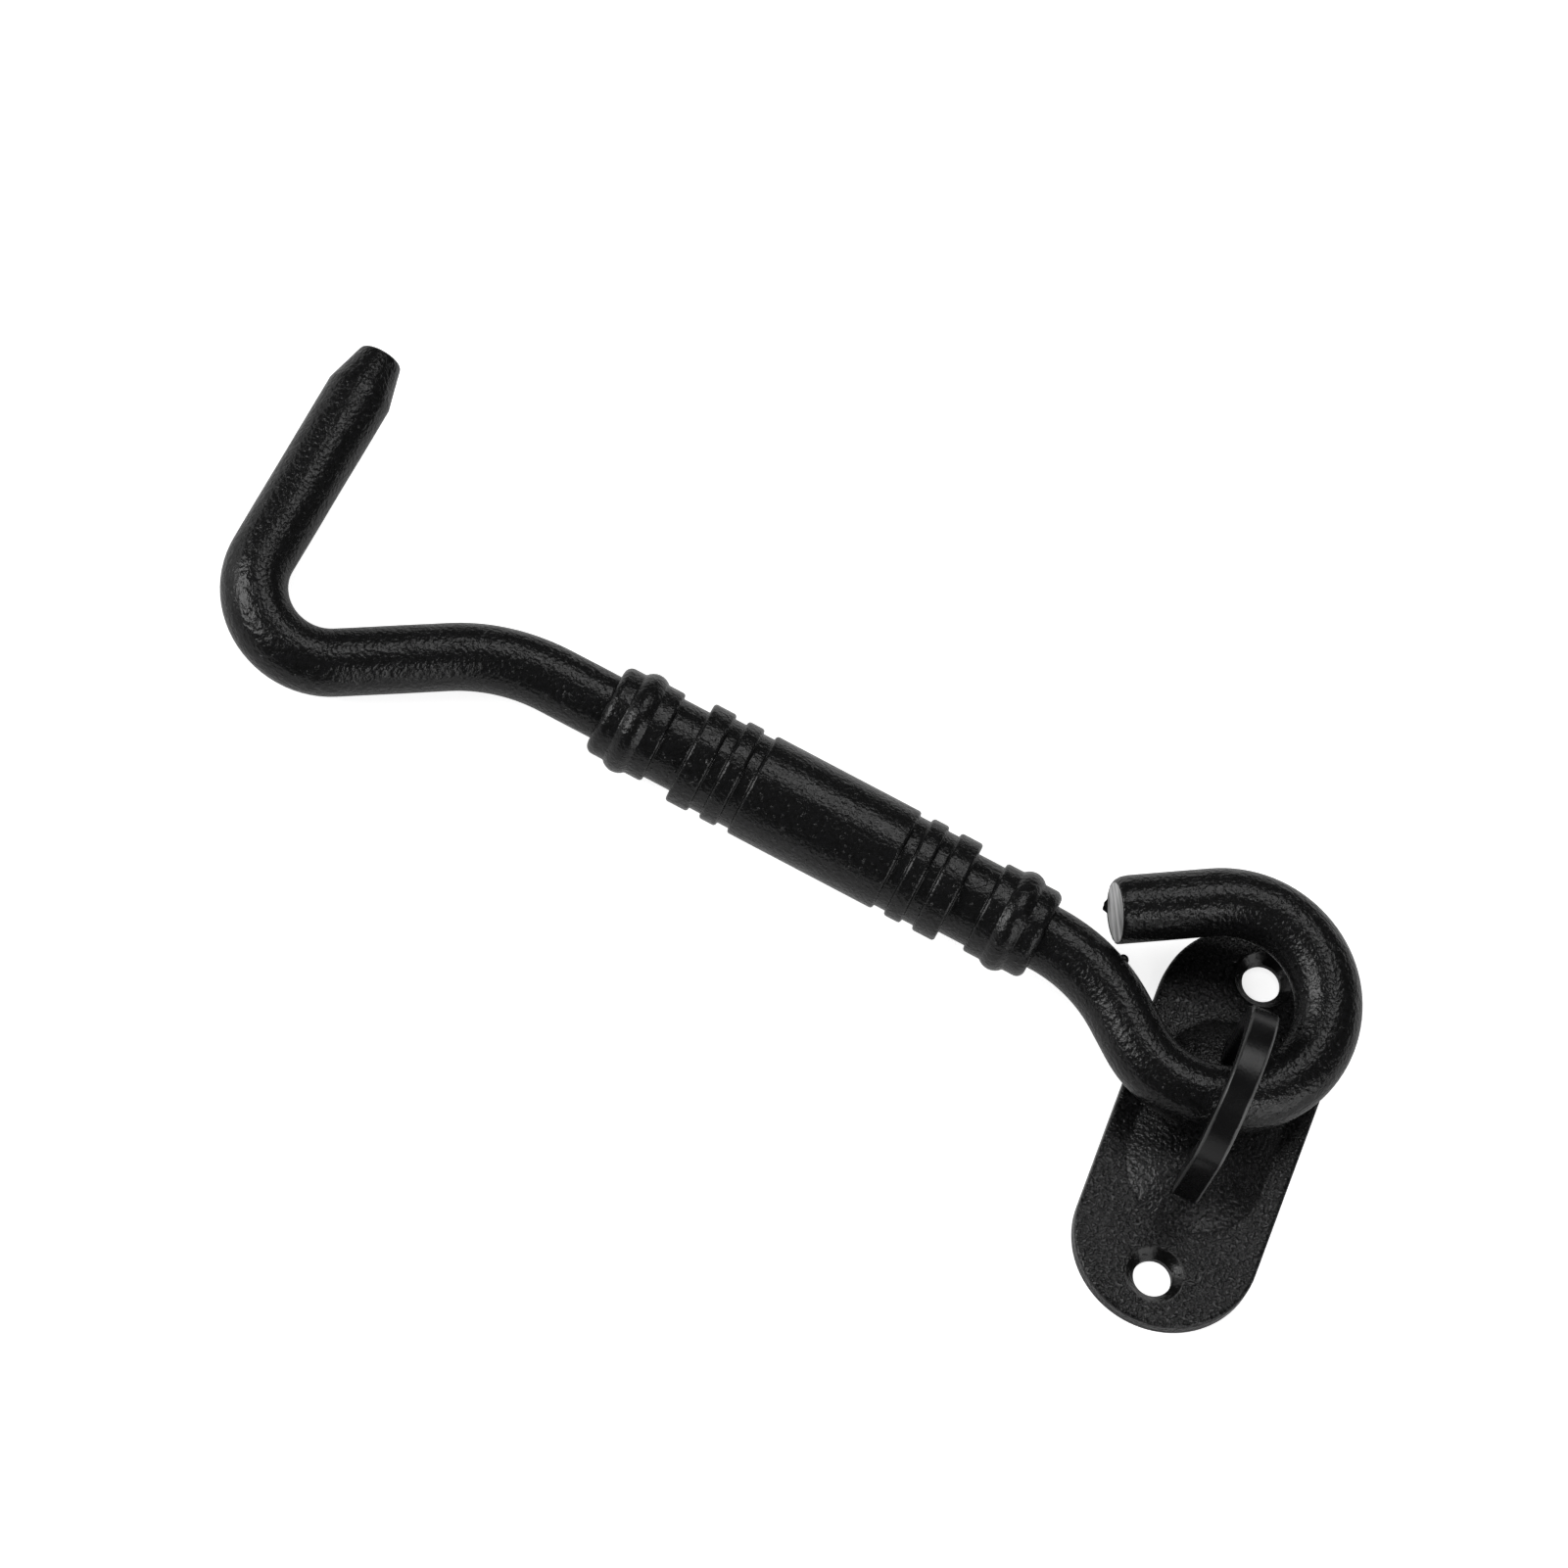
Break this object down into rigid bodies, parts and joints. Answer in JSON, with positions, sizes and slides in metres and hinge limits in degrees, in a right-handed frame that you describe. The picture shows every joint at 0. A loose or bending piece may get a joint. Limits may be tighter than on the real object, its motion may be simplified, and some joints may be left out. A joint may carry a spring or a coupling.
{
  "type": "hook and eye latch",
  "caption": "Black cabin-hook latch: a bent round rod with a turned grip sleeve swings in a strip staple that is peened into a small round-ended screw plate.",
  "frame": {"origin": "centre of the fixing plate's back face, on the surface that it is screwed to", "axes": "+X across the plate, with the arm lying along -X at rest; +Y along the plate, through its screw holes; +Z out of the surface"},
  "size_m": [0.1168, 0.0607, 0.0188],
  "materials": {
    "plate_coat": "fine-textured black powder coat",
    "staple_coat": "smooth black paint",
    "rod_coat": "fine-textured black powder coat",
    "grip_coat": "fine-textured black powder coat"
  },
  "bodies": {
    "plate": {"fixing_plate": "plate_coat", "staple": "staple_coat"},
    "arm": {"hook_rod": "rod_coat", "grip_sleeve": "grip_coat"}
  },
  "joints": [
    {"name": "arm_swing", "type": "hinge", "parent": "plate", "child": "arm", "pos_m": [-0.0033, 0.00975, 0.00813], "axis": [0.0485, 0.0996, -0.9938], "range_deg": [0, 180]}
  ]
}
